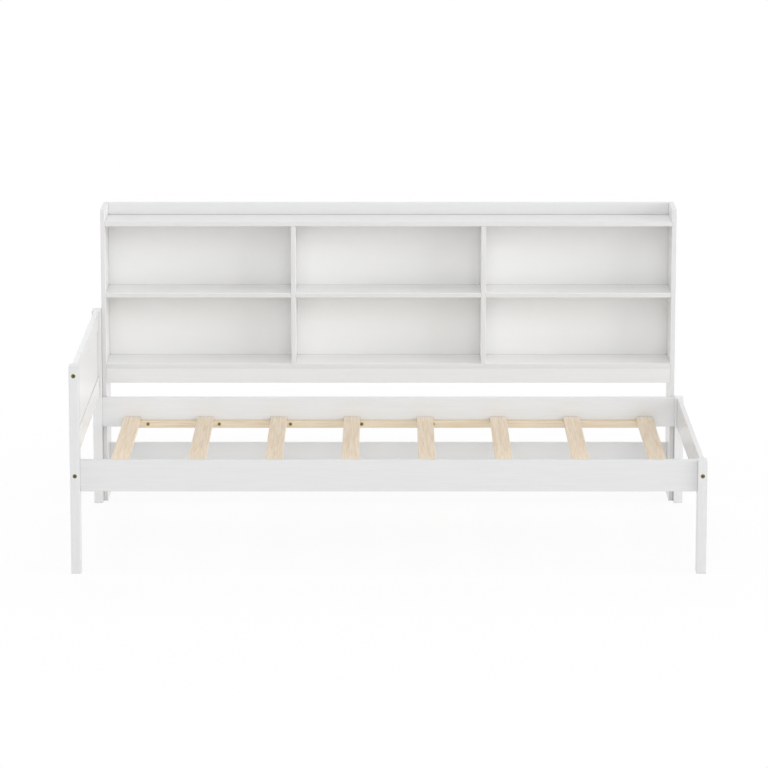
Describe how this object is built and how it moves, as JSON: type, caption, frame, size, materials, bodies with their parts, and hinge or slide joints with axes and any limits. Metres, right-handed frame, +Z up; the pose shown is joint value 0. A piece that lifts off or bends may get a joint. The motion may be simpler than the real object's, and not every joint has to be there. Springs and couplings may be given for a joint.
{
  "type": "bookcase daybed",
  "caption": "Low slatted daybed in white-painted wood, with a panelled headboard at one end, a rail at the other and an open bookcase along the back.",
  "frame": {"origin": "middle of the footprint, at floor level", "axes": "+X along the mattress from the headboard to the foot, +Y from the open front to the bookcase, +Z up"},
  "size_m": [1.99, 1.235, 0.996],
  "materials": {
    "white_paint": "satin white paint over solid wood and board, faint grain",
    "pine": "bare planed pine",
    "brass": "dark brass-coloured plating",
    "steel": "zinc-plated steel"
  },
  "bodies": {
    "root": {"apron": "white_paint", "back_lip": "white_paint", "back_panel": "white_paint", "back_side_rail": "white_paint", "back_slat_ledger": "pine", "barrel_nuts": "steel", "bookcase_left_side": "white_paint", "bookcase_right_side": "white_paint", "bottom_shelf": "white_paint", "case_screws": "brass", "divider_left": "white_paint", "divider_right": "white_paint", "footboard_rail": "white_paint", "front_left_post": "white_paint", "front_right_post": "white_paint", "front_side_rail": "white_paint", "front_slat_ledger": "pine", "headboard_lower_rail": "white_paint", "headboard_panel": "white_paint", "headboard_top_rail": "white_paint", "ledger_screws": "brass", "long_bolts": "brass", "lower_stretcher": "white_paint", "middle_shelf_centre": "white_paint", "middle_shelf_left": "white_paint", "middle_shelf_right": "white_paint", "rear_left_post": "white_paint", "rear_right_post": "white_paint", "short_bolts": "brass", "slat_1": "pine", "slat_2": "pine", "slat_3": "pine", "slat_4": "pine", "slat_5": "pine", "slat_6": "pine", "slat_7": "pine", "slat_8": "pine", "top_shelf": "white_paint"}
  },
  "joints": []
}
